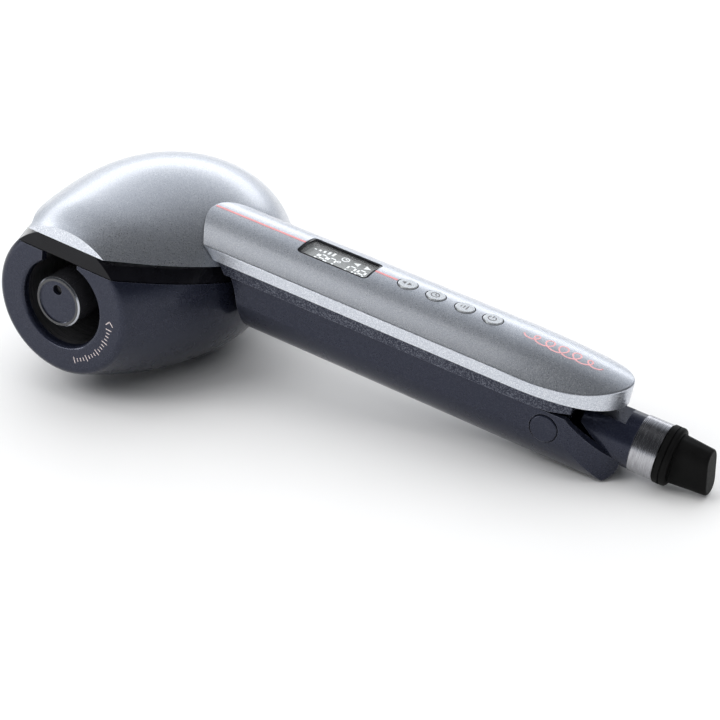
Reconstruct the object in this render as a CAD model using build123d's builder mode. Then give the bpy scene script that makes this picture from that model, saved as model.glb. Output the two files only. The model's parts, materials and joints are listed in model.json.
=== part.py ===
from build123d import *
import os
from math import atan2, cos, degrees, pi, radians, sin, sqrt, tan

os.makedirs("parts", exist_ok=True)

# Automatic hair curler. Millimetres. The pieces are modelled in the handle's frame: the origin is on
# the curl barrel's axis in the handle's middle plane, +X runs to the tail, -Y looks out of the
# C-shaped mouth and +Z is the display side. At the end the whole set is tilted by rest_tilt, so that
# the curler lies on its belly and on the rear of the lower arm, and the origin of the written pieces
# is the middle of the small flat under the belly.

# Head: smooth pod around the barrel axis, flat at the mouth side, round at the far side
face_y = -56.0
ring_r = 27.8
ring_fillet = 2.8
dome_front_r = 29.9
head_mid_y = 5.0
head_far = 59.5
head_flare = 1.95
head_shift_x = 4.0
head_mid_z = -4.2
dome_half_width = 47.6
head_half_height = 37.2
bowl_half_width = 43.9
shell_wall = 2.2
face_wall = 3.0

# Parting of the jaws: a plane that falls towards the far side
part_z = 16.8
part_slope = 0.2
band_height = 6.5
seam_gap = 0.4

# Mouth, curl chamber and barrel
opening_r = 16.9
opening_z = -1.5
lip_fillet = 1.3
slot_left = -9.9
slot_right = 5.8
cup_inner_r = 17.6
cup_outer_r = 19.6
cup_end_y = -4.0
barrel_r = 9.7
barrel_bore_r = 8.2
barrel_front_y = -57.9
barrel_back_y = 14.5
sensor_x = -0.8
sensor_z = 4.6
sensor_r = 2.0

# Winding rotor and its gear train; both idlers mesh with the rotor and with the motor pinion
gear_module = 0.8
rotor_teeth = 50
idler_teeth = 16
pinion_teeth = 12
gear_backlash = 0.16
gear_front_y = 3.0
gear_back_y = 7.0
rotor_bore_r = 12.2
journal_r = 17.4
running_gap = 0.06
rotor_slot_width = 10.0
rotor_slot_x = -2.0
bearing_back_y = 11.9
bearing_outer_r = 23.0
bulkhead_front_y = 12.0
bulkhead_back_y = 14.5
axle_r = 1.5

# Arms
cover_bottom_z = 18.1
cover_edge_z = 22.5
cover_top_z = 29.0
cover_half_width = 18.8
cover_tip_x = 196.4
cover_wall = 2.0
tail_drop_x = 153.0
tail_drop = 3.0
frame_bottom_z = 13.1
arm_top_z = 12.7
arm_side_z = 3.0
arm_bottom_z = -9.4
arm_half_width = 16.0
arm_bottom_half_width = 8.0
arm_end_x = 200.6
heel_x = 192.6
arm_slope_x = 181.0
arm_wall = 2.0
wire_hole_r = 4.0
hinge_x = 174.6
hinge_z = 6.1
pin_r = 2.5
hinge_cap_r = 5.4

# Display and buttons
window_x = (66.0, 95.5)
window_half_width = 7.0
button_x = (108.7, 120.1, 131.7, 142.7)
button_names = ("direction_button", "timer_button", "heat_button", "power_button")
button_r = 3.58
button_ring_r = 3.95
button_travel = 0.6
strip_width = 1.1
strip_depth = 0.5

# Tail
neck_x = 203.6
collar_end_x = 212.9
collar_r = 10.2
collar_bore_r = 9.4
tail_z = 6.1
spigot_r = 7.0
cap_r = 10.5
cap_end_x = 217.4
cap_groove_x = 215.0
stub_end_x = 230.0
stub_slant = 11.0

pieces = []


def across(y):
    """Plane of constant y, with X to the right and Z up; positive extrusion runs to -Y."""
    return Plane(origin=(0, y, 0), x_dir=(1, 0, 0), z_dir=(0, -1, 0))


def parting_height(y):
    return part_z - part_slope * (y - face_y)


def deck_under(y):
    return parting_height(y) - 2.6


def half_space(height, reach):
    """Block above (reach > 0) or below (reach < 0) the parting plane, raised by height."""
    near, far = -80.0, 80.0
    with BuildPart() as block:
        with BuildSketch(Plane.YZ.offset(-80)):
            with BuildLine():
                Polyline(
                    (near, parting_height(near) + height),
                    (far, parting_height(far) + height),
                    (far, parting_height(far) + height + reach),
                    (near, parting_height(near) + height + reach),
                    close=True,
                )
            make_face()
        extrude(amount=180)
    return block.part


def head_form(front_r, half_width, inset, front_y):
    """Head pod with its skin moved in by inset, from front_y to the closed far side."""
    far = head_far - inset
    front = [front_y + (head_mid_y - front_y) * step / 4 for step in range(5)]
    back = [head_mid_y + far * sin(radians(turn)) for turn in (25, 45, 62, 76, 86)]
    with BuildPart() as form:
        for y in front + back:
            growth = 1 - max(0.0, (head_mid_y - y) / (head_mid_y - face_y)) ** head_flare
            closing = sqrt(1 - max(0.0, (y - head_mid_y) / far) ** 2)
            across_r = (front_r + (half_width - front_r) * growth - inset) * closing
            upright_r = (front_r + (head_half_height - front_r) * growth - inset) * closing
            centre_z = opening_z + (head_mid_z - opening_z) * growth
            centre = (head_shift_x * growth, y, centre_z)
            with BuildSketch(Plane(origin=centre, x_dir=(1, 0, 0), z_dir=(0, -1, 0))):
                Ellipse(across_r, upright_r)
        loft()
    return form.part


def arm_form(inset, top):
    """Lower arm as a solid boat-shaped bar with its skin moved in by inset, cut off at height top."""
    half = arm_half_width - inset
    low_half = arm_bottom_half_width - inset / 2
    low = arm_bottom_z + inset
    end_half = 6.5 - inset
    with BuildPart() as form:
        with BuildSketch(Plane.YZ.offset(30)):
            with BuildLine():
                Polyline((-half, arm_side_z), (-half, top), (half, top), (half, arm_side_z))
                RadiusArc((half, arm_side_z), (low_half, low), 18)
                Line((low_half, low), (-low_half, low))
                RadiusArc((-low_half, low), (-half, arm_side_z), 18)
            make_face()
        extrude(amount=arm_end_x - 30 - inset)
        with BuildSketch(Plane.XZ):
            with BuildLine():
                Polyline((20, top + 9), (20, -20), (heel_x - inset, -20), (heel_x - inset, low))
                RadiusArc((heel_x - inset, low), (arm_end_x - inset, low + 8), -8)
                Polyline(
                    (arm_end_x - inset, low + 8),
                    (arm_end_x - inset, low + 9.5),
                    (arm_slope_x, top),
                    (arm_slope_x, top + 9),
                    (20, top + 9),
                )
            make_face()
        extrude(amount=40, both=True, mode=Mode.INTERSECT)
        with BuildSketch(Plane.XY.offset(-20)):
            with BuildLine():
                Polyline((176, half), (20, half), (20, -half), (176, -half))
                RadiusArc((176, -half), (arm_end_x - inset, -end_half), -28)
                Line((arm_end_x - inset, -end_half), (arm_end_x - inset, end_half))
                RadiusArc((arm_end_x - inset, end_half), (176, half), -28)
            make_face()
        extrude(amount=60, mode=Mode.INTERSECT)
    return form.part


def crown_form(drop):
    """Crowned bar under the handle's top skin lowered by drop; past tail_drop_x it bends down to the tip."""
    rise = cover_top_z - cover_edge_z
    crown_r = (cover_half_width**2 + rise**2) / (2 * rise)
    half = cover_half_width + 2
    ridge = cover_top_z - drop
    edge = ridge - crown_r + sqrt(crown_r**2 - half**2)
    bend_r = (cover_tip_x - tail_drop_x) ** 2 / (2 * tail_drop)
    with BuildPart() as form:
        with BuildSketch(Plane.YZ.offset(tail_drop_x)) as crown_section:
            with BuildLine():
                ThreePointArc((-half, edge), (0, ridge), (half, edge))
                Polyline((half, edge), (half, 0), (-half, 0), (-half, edge))
            make_face()
        extrude(amount=10 - tail_drop_x)
        bend_axis = Axis((tail_drop_x, 0, cover_top_z - bend_r), (0, 1, 0))
        revolve(crown_section.sketch.face(), axis=bend_axis, revolution_arc=14)
    return form.part


def plan_form(inset, low, high):
    """Handle outline seen from above, moved in by inset, as a straight block between two heights."""
    half = cover_half_width - inset
    shoulder = (177 - 0.2 * inset, 17.1 - 0.97 * inset)
    corner = (190.4 - 0.68 * inset, 11.0 - 0.73 * inset)
    with BuildPart() as form:
        with BuildSketch(Plane.XY.offset(low)):
            with BuildLine():
                Line((10, -half), (150, -half))
                Spline(
                    (150, -half),
                    (shoulder[0], -shoulder[1]),
                    (corner[0], -corner[1]),
                    (cover_tip_x - inset, 0),
                    corner,
                    shoulder,
                    (150, half),
                    tangents=((1, 0), (-1, 0)),
                )
                Line((150, half), (10, half))
                Line((10, half), (10, -half))
            make_face()
        extrude(amount=high - low)
    return form.part


def gear_outline(teeth):
    """Closed involute gear outline: points on each flank and on the tip and root circles."""
    pitch = gear_module * teeth / 2
    base = pitch * cos(radians(20))
    tip = pitch + gear_module
    root = pitch - 1.25 * gear_module
    half_tooth = (pi * gear_module / 2 - gear_backlash) / 2 / pitch
    start = max(base, root)
    pressure = tan(radians(20)) - radians(20)
    flank = []
    for step in range(6):
        radius = start + (tip - start) * step / 5
        roll = sqrt(max(0.0, (radius / base) ** 2 - 1))
        angle = half_tooth + pressure - (roll - atan2(roll, 1))
        flank.append((radius, angle))
    points = []
    for tooth in range(teeth):
        middle = 2 * pi * tooth / teeth
        points.append((root, middle - flank[0][1] - 0.02))
        points.extend((radius, middle - angle) for radius, angle in flank)
        points.extend((radius, middle + angle) for radius, angle in reversed(flank))
        points.append((root, middle + flank[0][1] + 0.02))
    return [(radius * cos(angle), radius * sin(angle)) for radius, angle in points]


def spur_gear(teeth, centre, turn):
    """Spur gear blank with teeth, in the gear layer, turned about its own axis by turn degrees."""
    plane = Plane(origin=(centre[0], gear_front_y, centre[1]), x_dir=(1, 0, 0), z_dir=(0, -1, 0))
    with BuildPart() as gear:
        with BuildSketch(plane):
            with BuildLine(Rotation(0, 0, turn)):
                Polyline(*gear_outline(teeth), close=True)
            make_face()
        extrude(amount=gear_front_y - gear_back_y)
    return gear.part


bowl_outer = head_form(ring_r, bowl_half_width, 0, face_y)
bowl_inner = head_form(ring_r, bowl_half_width, shell_wall, face_y + face_wall)
bowl_lining = head_form(ring_r, bowl_half_width, shell_wall + 0.1, face_y + face_wall)
bowl_room = head_form(ring_r, bowl_half_width, -0.1, face_y)
dome_outer = head_form(dome_front_r, dome_half_width, 0, face_y)
dome_inner = head_form(dome_front_r, dome_half_width, shell_wall, face_y + 2)
dome_lining = head_form(dome_front_r, dome_half_width, shell_wall + 0.05, face_y + 2)
liner_inner = head_form(ring_r, bowl_half_width, 2 * shell_wall + 0.2, face_y + face_wall)
dome_seam = head_form(dome_front_r, dome_half_width, -0.35, face_y)
dome_room = head_form(dome_front_r, dome_half_width, -1.8, face_y)
above_bowl = half_space(-seam_gap / 2, 140)
above_band = half_space(band_height, 140)
below_band = half_space(band_height, -140)
below_liner = half_space(seam_gap / 2, -140)

# The table plane touches the belly and the lower arm's heel
belly_z = head_mid_z - head_half_height
rest_flat_depth = 0.3
rest_point = Vector(head_shift_x, 0, belly_z + rest_flat_depth)
rest_tilt = degrees(atan2(arm_bottom_z - rest_point.Z, heel_x - rest_point.X))
table_normal = Vector(sin(radians(rest_tilt)), 0, -cos(radians(rest_tilt)))

# ---- Lower jaw: bowl, mouth ring and curl chamber ----

with BuildPart() as lower_head_shell:
    add(bowl_outer)
    add(above_bowl, mode=Mode.SUBTRACT)
    ring_edges = lower_head_shell.edges().filter_by_position(Axis.Y, face_y - 0.1, face_y + 0.1)
    fillet(ring_edges.sort_by(SortBy.LENGTH)[-1], ring_fillet)
    add(bowl_inner, mode=Mode.SUBTRACT)
    with BuildSketch(across(face_y - 1)):
        with Locations((0, opening_z)):
            Circle(opening_r)
        with Locations(((slot_left + slot_right) / 2, 12)):
            Rectangle(slot_right - slot_left, 26)
    extrude(amount=-face_wall - 2, mode=Mode.SUBTRACT)
    lip_edges = lower_head_shell.edges().filter_by_position(Axis.Y, face_y - 0.1, face_y + 0.1)
    fillet(lip_edges.filter_by(GeomType.CIRCLE).group_by(SortBy.RADIUS)[0], lip_fillet)
    with BuildSketch(Plane.YZ.offset(20)):
        Circle(wire_hole_r)
    extrude(amount=40, mode=Mode.SUBTRACT)
    with BuildSketch(Plane(origin=rest_point, z_dir=table_normal)):
        Circle(30)
    extrude(amount=5, mode=Mode.SUBTRACT)
lower_head_shell.part.label = "lower_head_shell"
pieces.append(lower_head_shell)

with BuildPart() as chamber_cup:
    with BuildSketch(across(face_y + face_wall)):
        with Locations((0, opening_z)):
            Circle(cup_outer_r)
            Circle(cup_inner_r, mode=Mode.SUBTRACT)
        with Locations(((slot_left + slot_right) / 2, 20)):
            Rectangle(slot_right - slot_left, 30, mode=Mode.SUBTRACT)
    extrude(amount=face_y + face_wall - cup_end_y)
chamber_cup.part.label = "chamber_cup"
pieces.append(chamber_cup)

with BuildPart() as curl_barrel:
    with BuildSketch(across(barrel_front_y)):
        Circle(barrel_r)
    extrude(amount=barrel_front_y - barrel_back_y)
    chamfer(curl_barrel.faces().sort_by(Axis.Y)[0].edges(), 0.6)
    with BuildSketch(across(barrel_front_y - 1)):
        Circle(barrel_bore_r)
    extrude(amount=barrel_front_y - 1 - barrel_back_y - 1, mode=Mode.SUBTRACT)
curl_barrel.part.label = "curl_barrel"
pieces.append(curl_barrel)

with BuildPart() as barrel_end_cap:
    with BuildSketch(across(barrel_front_y + 0.5)):
        Circle(barrel_bore_r)
    extrude(amount=-3)
    with BuildSketch(across(barrel_front_y)):
        with Locations((sensor_x, sensor_z)):
            Circle(sensor_r)
    extrude(amount=-6, mode=Mode.SUBTRACT)
barrel_end_cap.part.label = "barrel_end_cap"
pieces.append(barrel_end_cap)

with BuildPart() as barrel_sensor:
    with BuildSketch(across(barrel_front_y + 1.8)):
        with Locations((sensor_x, sensor_z)):
            Circle(sensor_r)
    extrude(amount=-1.7)
    with BuildSketch(across(barrel_front_y + 3.5)):
        with Locations((sensor_x, sensor_z)):
            Circle(sensor_r - 0.7)
    extrude(amount=-5)
barrel_sensor.part.label = "barrel_sensor"
pieces.append(barrel_sensor)

with BuildPart() as heater_core:
    with BuildSketch(across(barrel_front_y + 10)):
        Circle(barrel_bore_r)
        with GridLocations(6, 6, 2, 2):
            Circle(1.2, mode=Mode.SUBTRACT)
    extrude(amount=-55)
heater_core.part.label = "heater_core"
pieces.append(heater_core)

# ---- Winding drive ----

rotor_r = gear_module * rotor_teeth / 2
idler_r = gear_module * idler_teeth / 2
pinion_r = gear_module * pinion_teeth / 2
# At this angle either side of straight down, the ring rotor, idler, pinion, idler closes in mesh
idler_spread = 23.847
idler_reach = (rotor_r + idler_r) * sin(radians(idler_spread))
idler_z = -(rotor_r + idler_r) * cos(radians(idler_spread))
idler_centres = [(-idler_reach, idler_z), (idler_reach, idler_z)]
pinion_centre = (0.0, idler_z - sqrt((idler_r + pinion_r) ** 2 - idler_reach**2))


def idler_turn(side):
    """Turn of an idler, in degrees, that puts a gap of its teeth on the rotor's tooth."""
    towards = -90 + side * idler_spread
    rotor_phase = (towards + 90) * rotor_teeth / 360
    return towards + 180 + (rotor_phase - 0.5) * 360 / idler_teeth


with BuildPart() as winding_rotor:
    add(spur_gear(rotor_teeth, (0, 0), -90))
    with BuildSketch(across(gear_back_y)):
        Circle(journal_r)
    extrude(amount=gear_back_y - bearing_back_y + 0.3)
    with BuildSketch(across(gear_front_y - 1)):
        Circle(rotor_bore_r)
        with Locations((rotor_slot_x, 20)):
            Rectangle(rotor_slot_width, 40)
    extrude(amount=-12, mode=Mode.SUBTRACT)
winding_rotor.part.label = "winding_rotor"
pieces.append(winding_rotor)

hook_inner_r = 12.4
hook_outer_r = 14.8
hook_length = 34.0
hook_tip_y = gear_front_y - hook_length
hook_heel_y = gear_front_y - 26
hook_bend_y = -14.0
with BuildPart() as winding_hook:
    with BuildSketch(across(gear_front_y)):
        Circle(hook_outer_r)
        Circle(hook_inner_r, mode=Mode.SUBTRACT)
        with BuildLine():
            Polyline((0, 0), (-30, 26), (-30, 5), close=True)
        make_face(mode=Mode.INTERSECT)
    extrude(amount=hook_length)
    with BuildSketch(Plane.YZ):
        with BuildLine():
            Polyline((hook_heel_y, 0), (gear_front_y, 0), (gear_front_y, 20), (hook_bend_y, 20))
            Spline((hook_bend_y, 20), (hook_tip_y + 3, 8), (hook_tip_y, 4), (hook_heel_y, 0))
        make_face()
    extrude(amount=40, both=True, mode=Mode.INTERSECT)
winding_hook.part.label = "winding_hook"
pieces.append(winding_hook)

with BuildPart() as rotor_bearing:
    with BuildSketch(across(gear_back_y + 0.3)):
        Circle(bearing_outer_r)
        Circle(journal_r + running_gap, mode=Mode.SUBTRACT)
        with Locations((rotor_slot_x, 20)):
            Rectangle(rotor_slot_width, 40, mode=Mode.SUBTRACT)
    extrude(amount=gear_back_y + 0.3 - bulkhead_front_y)
rotor_bearing.part.label = "rotor_bearing"
pieces.append(rotor_bearing)

with BuildPart() as drive_bulkhead:
    with BuildSketch(across(bulkhead_front_y)):
        Rectangle(120, 120)
    extrude(amount=bulkhead_front_y - bulkhead_back_y)
    add(bowl_lining, mode=Mode.INTERSECT)
    for start in (-60, bearing_outer_r + 0.2):
        with BuildSketch(Plane.YZ.offset(start)):
            with BuildLine():
                Polyline((0, deck_under(0)), (40, deck_under(40)), (40, 60), (0, 60), close=True)
            make_face()
        extrude(amount=60 - bearing_outer_r - 0.2, mode=Mode.SUBTRACT)
    with BuildSketch(across(0)):
        with Locations((0, 40 + bearing_outer_r)):
            Rectangle(120, 80)
        Circle(barrel_r)
        with Locations(pinion_centre):
            Circle(3.2)
    extrude(amount=-40, mode=Mode.SUBTRACT)
drive_bulkhead.part.label = "drive_bulkhead"
pieces.append(drive_bulkhead)

with BuildPart() as gear_axles:
    for centre in idler_centres:
        with BuildSketch(across(bulkhead_front_y)):
            with Locations(centre):
                Circle(axle_r)
        extrude(amount=bulkhead_front_y - gear_front_y + 1.4)
        with BuildSketch(across(gear_front_y - 0.4)):
            with Locations(centre):
                Circle(axle_r + 0.9)
        extrude(amount=1)
        with BuildSketch(across(bulkhead_front_y)):
            with Locations(centre):
                Circle(axle_r + 1.2)
        extrude(amount=bulkhead_front_y - gear_back_y - 0.4)
gear_axles.part.label = "gear_axles"
pieces.append(gear_axles)

idler_gears = []
for side, name, centre in zip((-1, 1), ("left_idler_gear", "right_idler_gear"), idler_centres):
    with BuildPart() as idler_gear:
        add(spur_gear(idler_teeth, centre, idler_turn(side)))
        with BuildSketch(across(gear_front_y - 1)):
            with Locations(centre):
                Circle(axle_r + running_gap)
        extrude(amount=-8, mode=Mode.SUBTRACT)
    idler_gear.part.label = name
    pieces.append(idler_gear)

motor_r = 7.3
motor_length = 13.5
motor_shaft_r = 1.5
with BuildPart() as motor_pinion:
    add(spur_gear(pinion_teeth, pinion_centre, 90))
    with BuildSketch(across(gear_back_y)):
        with Locations(pinion_centre):
            Circle(motor_shaft_r)
    extrude(amount=gear_back_y - bulkhead_back_y - 3)
motor_pinion.part.label = "motor_pinion"
pieces.append(motor_pinion)

with BuildPart() as drive_motor:
    with BuildSketch(across(bulkhead_back_y)):
        with Locations(pinion_centre):
            Circle(motor_r)
    extrude(amount=-motor_length)
    fillet(drive_motor.faces().sort_by(Axis.Y)[-1].edges(), 1)
    with BuildSketch(across(bulkhead_back_y)):
        with Locations(pinion_centre):
            Circle(motor_shaft_r + running_gap)
    extrude(amount=-3.4, mode=Mode.SUBTRACT)
drive_motor.part.label = "drive_motor"
pieces.append(drive_motor)

with BuildPart() as lower_jaw_deck:
    add(half_space(-seam_gap / 2 - 0.2, -2))
    add(bowl_lining, mode=Mode.INTERSECT)
    with BuildSketch(across(face_y)):
        with Locations((0, opening_z)):
            Circle(cup_outer_r + 0.3)
        with Locations((0, 20)):
            Rectangle(2 * cup_outer_r + 0.6, 40)
    extrude(amount=face_y - gear_front_y + 3, mode=Mode.SUBTRACT)
    with BuildSketch(across(gear_front_y - 3)):
        Circle(bearing_outer_r + 0.4)
        with Locations((0, 20)):
            Rectangle(2 * bearing_outer_r + 0.8, 40)
    extrude(amount=gear_front_y - 3 - bulkhead_back_y - 0.1, mode=Mode.SUBTRACT)
lower_jaw_deck.part.label = "lower_jaw_deck"
pieces.append(lower_jaw_deck)

# ---- Lower arm, hinge and tail ----

boss_face_y = 14.6
boss_inner_y = 10.2
screw_x = (70.0, 112.0, 154.0)
screw_r = 1.5
screw_head_r = 2.8
screw_head_z = arm_bottom_z + 1.4
deck_bottom_z = 10.6
deck_end_x = 160.0
arm_outer = arm_form(0, arm_top_z)

with BuildPart() as lower_arm_cover:
    add(arm_outer)
    add(arm_form(arm_wall, arm_top_z + 4), mode=Mode.SUBTRACT)
    for side in (-1, 1):
        with BuildSketch(across(side * boss_inner_y)):
            with Locations((hinge_x, hinge_z)):
                Circle(hinge_cap_r)
        extrude(amount=-side * (boss_face_y - boss_inner_y))
    for x in screw_x:
        with BuildSketch(Plane.XY.offset(arm_bottom_z + arm_wall)):
            with Locations((x, 0)):
                Circle(screw_head_r + 1.2)
        extrude(amount=3)
        with BuildSketch(Plane.XY.offset(arm_bottom_z - 1)):
            with Locations((x, 0)):
                Circle(screw_r)
        extrude(amount=10, mode=Mode.SUBTRACT)
        with BuildSketch(Plane.XY.offset(arm_bottom_z - 1)):
            with Locations((x, 0)):
                Circle(screw_head_r)
        extrude(amount=1 + screw_head_z - arm_bottom_z + 0.8, mode=Mode.SUBTRACT)
    with BuildSketch(across(0)):
        with Locations((hinge_x, hinge_z)):
            Circle(pin_r)
    extrude(amount=30, both=True, mode=Mode.SUBTRACT)
    for side in (-1, 1):
        with BuildSketch(across(side * boss_face_y)):
            with Locations((hinge_x, hinge_z)):
                Circle(hinge_cap_r)
        extrude(amount=-side * 6, mode=Mode.SUBTRACT)
    with BuildSketch(Plane.YZ.offset(arm_end_x - 10)):
        with Locations((0, tail_z - 1)):
            Circle(wire_hole_r)
    extrude(amount=20, mode=Mode.SUBTRACT)
    add(bowl_room, mode=Mode.SUBTRACT)
    add(dome_room, mode=Mode.SUBTRACT)
lower_arm_cover.part.label = "lower_arm_cover"
pieces.append(lower_arm_cover)

with BuildPart() as lower_arm_deck:
    with BuildSketch(Plane.XY.offset(deck_bottom_z)):
        with Locations(((54 + deck_end_x) / 2, 0)):
            RectangleRounded(deck_end_x - 54, 2 * (arm_half_width - arm_wall) - 0.2, 2)
    extrude(amount=arm_top_z - deck_bottom_z - 0.3)
    for x in screw_x:
        with BuildSketch(Plane.XY.offset(arm_bottom_z + arm_wall + 3)):
            with Locations((x, 0)):
                Circle(screw_r + 1.5)
                Circle(screw_r, mode=Mode.SUBTRACT)
        extrude(amount=deck_bottom_z - arm_bottom_z - arm_wall - 3)
lower_arm_deck.part.label = "lower_arm_deck"
pieces.append(lower_arm_deck)

with BuildPart() as lower_arm_screws:
    for x in screw_x:
        with BuildSketch(Plane.XY.offset(screw_head_z - 1.2)):
            with Locations((x, 0)):
                Circle(screw_head_r)
                RegularPolygon(1.1, 6, mode=Mode.SUBTRACT)
        extrude(amount=2)
        with BuildSketch(Plane.XY.offset(screw_head_z)):
            with Locations((x, 0)):
                Circle(screw_r)
        extrude(amount=14)
lower_arm_screws.part.label = "lower_arm_screws"
pieces.append(lower_arm_screws)

with BuildPart() as power_board:
    with BuildSketch(Plane.XY.offset(0.5)):
        with Locations((91, 0)):
            Rectangle(34, 22)
    extrude(amount=1.6)
    with BuildSketch(Plane.XY.offset(2.1)):
        with Locations((82, -4)):
            Rectangle(10, 9)
        with Locations((98, 4)):
            Rectangle(8, 7)
        with Locations((95, -6), (83, 7), (104, -5)):
            Circle(2.5)
    extrude(amount=6)
power_board.part.label = "power_board"
pieces.append(power_board)

with BuildPart() as board_posts:
    with BuildSketch(Plane.XY.offset(arm_bottom_z + arm_wall)):
        with Locations((79, 0), (103, 0)):
            Circle(2)
    extrude(amount=0.5 - arm_bottom_z - arm_wall)
board_posts.part.label = "board_posts"
pieces.append(board_posts)

with BuildPart() as hinge_pin:
    with BuildSketch(across(boss_face_y)):
        with Locations((hinge_x, hinge_z)):
            Circle(pin_r)
    extrude(amount=2 * boss_face_y)
hinge_pin.part.label = "hinge_pin"
pieces.append(hinge_pin)

with BuildPart() as hinge_caps:
    for side in (-1, 1):
        with BuildSketch(across(side * (boss_face_y + 0.1))):
            with Locations((hinge_x, hinge_z)):
                Circle(hinge_cap_r - 0.35)
        extrude(amount=-side * 1.7)
    ends = hinge_caps.faces().sort_by(Axis.Y)
    fillet(ends[0].edges() + ends[-1].edges(), 0.6)
hinge_caps.part.label = "hinge_caps"
pieces.append(hinge_caps)

neck_r = 9.9
neck_start_x = 184.6
neck_step_x = 200.6
neck_flat_z = 14.2
with BuildPart() as neck_housing:
    with BuildSketch(Plane.YZ.offset(neck_start_x)):
        with Locations((0, tail_z)):
            Circle(neck_r)
    extrude(amount=neck_x - neck_start_x)
    with BuildSketch(Plane.XZ):
        with BuildLine():
            Polyline((neck_start_x - 1, neck_flat_z), (neck_start_x - 1, 20), (neck_step_x, 20))
            RadiusArc((neck_step_x, 20), (neck_step_x - 1.8, neck_flat_z), -8)
            Line((neck_step_x - 1.8, neck_flat_z), (neck_start_x - 1, neck_flat_z))
        make_face()
    extrude(amount=20, both=True, mode=Mode.SUBTRACT)
    add(arm_outer, mode=Mode.SUBTRACT)
    with BuildSketch(Plane.YZ.offset(neck_x)):
        with Locations((0, tail_z)):
            Circle(collar_bore_r)
    extrude(amount=collar_end_x - neck_x - 0.2)
    with BuildSketch(Plane.YZ.offset(neck_x - 3)):
        with Locations((0, tail_z)):
            Circle(spigot_r + running_gap)
    extrude(amount=20, mode=Mode.SUBTRACT)
    with BuildSketch(Plane.YZ.offset(180)):
        with Locations((0, tail_z - 1)):
            Circle(wire_hole_r)
    extrude(amount=24, mode=Mode.SUBTRACT)
neck_housing.part.label = "neck_housing"
pieces.append(neck_housing)

with BuildPart() as tail_collar:
    with BuildSketch(Plane.YZ.offset(neck_x)):
        with Locations((0, tail_z)):
            Circle(collar_r)
            Circle(collar_bore_r, mode=Mode.SUBTRACT)
    extrude(amount=collar_end_x - neck_x)
    chamfer(tail_collar.edges().filter_by(GeomType.CIRCLE).group_by(SortBy.RADIUS)[-1], 0.3)
tail_collar.part.label = "tail_collar"
pieces.append(tail_collar)

with BuildPart() as tail_cap:
    with BuildSketch(Plane.YZ.offset(collar_end_x + 0.2)):
        with Locations((0, tail_z)):
            Circle(cap_r)
    extrude(amount=cap_end_x - collar_end_x - 0.2)
    fillet(tail_cap.faces().sort_by(Axis.X)[-1].edges(), 1.2)
    with BuildSketch(Plane.YZ.offset(cap_groove_x)):
        with Locations((0, tail_z)):
            Circle(cap_r + 1)
            Circle(cap_r - 0.5, mode=Mode.SUBTRACT)
    extrude(amount=0.5, mode=Mode.SUBTRACT)
    with BuildSketch(Plane.YZ.offset(neck_x - 2.5)):
        with Locations((0, tail_z)):
            Circle(spigot_r)
    extrude(amount=collar_end_x + 0.2 - neck_x + 2.5)
tail_cap.part.label = "tail_cap"
pieces.append(tail_cap)

with BuildPart() as cord_stub:
    for x, slant, width, height in ((cap_end_x, 0, 11.6, 17.5), (stub_end_x, stub_slant, 10.2, 16.3)):
        outward = (cos(radians(slant)), 0, sin(radians(slant)))
        with BuildSketch(Plane(origin=(x, 0, tail_z), x_dir=(0, 1, 0), z_dir=outward)):
            RectangleRounded(width, height, 4.6)
    loft()
    fillet(cord_stub.faces().sort_by(Axis.X)[-1].edges(), 0.9)
cord_stub.part.label = "cord_stub"
pieces.append(cord_stub)

# ---- Upper jaw and upper arm ----

with BuildPart() as dome_cover:
    add(dome_outer)
    add(below_band, mode=Mode.SUBTRACT)
    add(dome_inner, mode=Mode.SUBTRACT)
    with BuildSketch(Plane.YZ.offset(20)):
        with Locations((0, 22)):
            SlotOverall(16, 5)
    extrude(amount=40, mode=Mode.SUBTRACT)
dome_cover.part.label = "dome_cover"
pieces.append(dome_cover)

with BuildPart() as liner_lip:
    add(dome_lining)
    add(below_band, mode=Mode.SUBTRACT)
    add(half_space(band_height + 4, 140), mode=Mode.SUBTRACT)

with BuildPart() as upper_jaw_liner:
    add(bowl_outer)
    add(above_band, mode=Mode.SUBTRACT)
    add(liner_lip.part)
    add(below_liner, mode=Mode.SUBTRACT)
    add(liner_inner, mode=Mode.SUBTRACT)
upper_jaw_liner.part.label = "upper_jaw_liner"
pieces.append(upper_jaw_liner)

lid_inner_r = cup_outer_r + 0.5
with BuildPart() as chamber_lid:
    with BuildSketch(across(face_y + face_wall)):
        with Locations((0, opening_z)):
            Circle(lid_inner_r + 1.6)
            Circle(lid_inner_r, mode=Mode.SUBTRACT)
        with Locations((0, parting_height(face_y) - 38)):
            Rectangle(80, 80, mode=Mode.SUBTRACT)
    extrude(amount=face_y + face_wall - gear_front_y + 4)
    with BuildSketch(across(face_y + face_wall)):
        with Locations(((slot_left + slot_right) / 2, 18.95)):
            Rectangle(slot_right - slot_left - 1, 2.1)
    extrude(amount=face_y + face_wall - cup_end_y - 4)
chamber_lid.part.label = "chamber_lid"
pieces.append(chamber_lid)

window_middle = sum(window_x) / 2
window_length = window_x[1] - window_x[0]
bezel_wall = 0.9
bezel_bottom_z = 23.4
glass_length = window_length - 2 * bezel_wall
glass_width = 2 * (window_half_width - bezel_wall)
strip_spans = ((27.0, window_x[0] + 0.2), (window_x[1] - 0.2, button_x[0] - button_ring_r - 0.2))

with BuildPart() as handle_room:
    add(plan_form(cover_wall, cover_bottom_z - 1, 34))
    add(crown_form(cover_wall), mode=Mode.INTERSECT)

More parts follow.
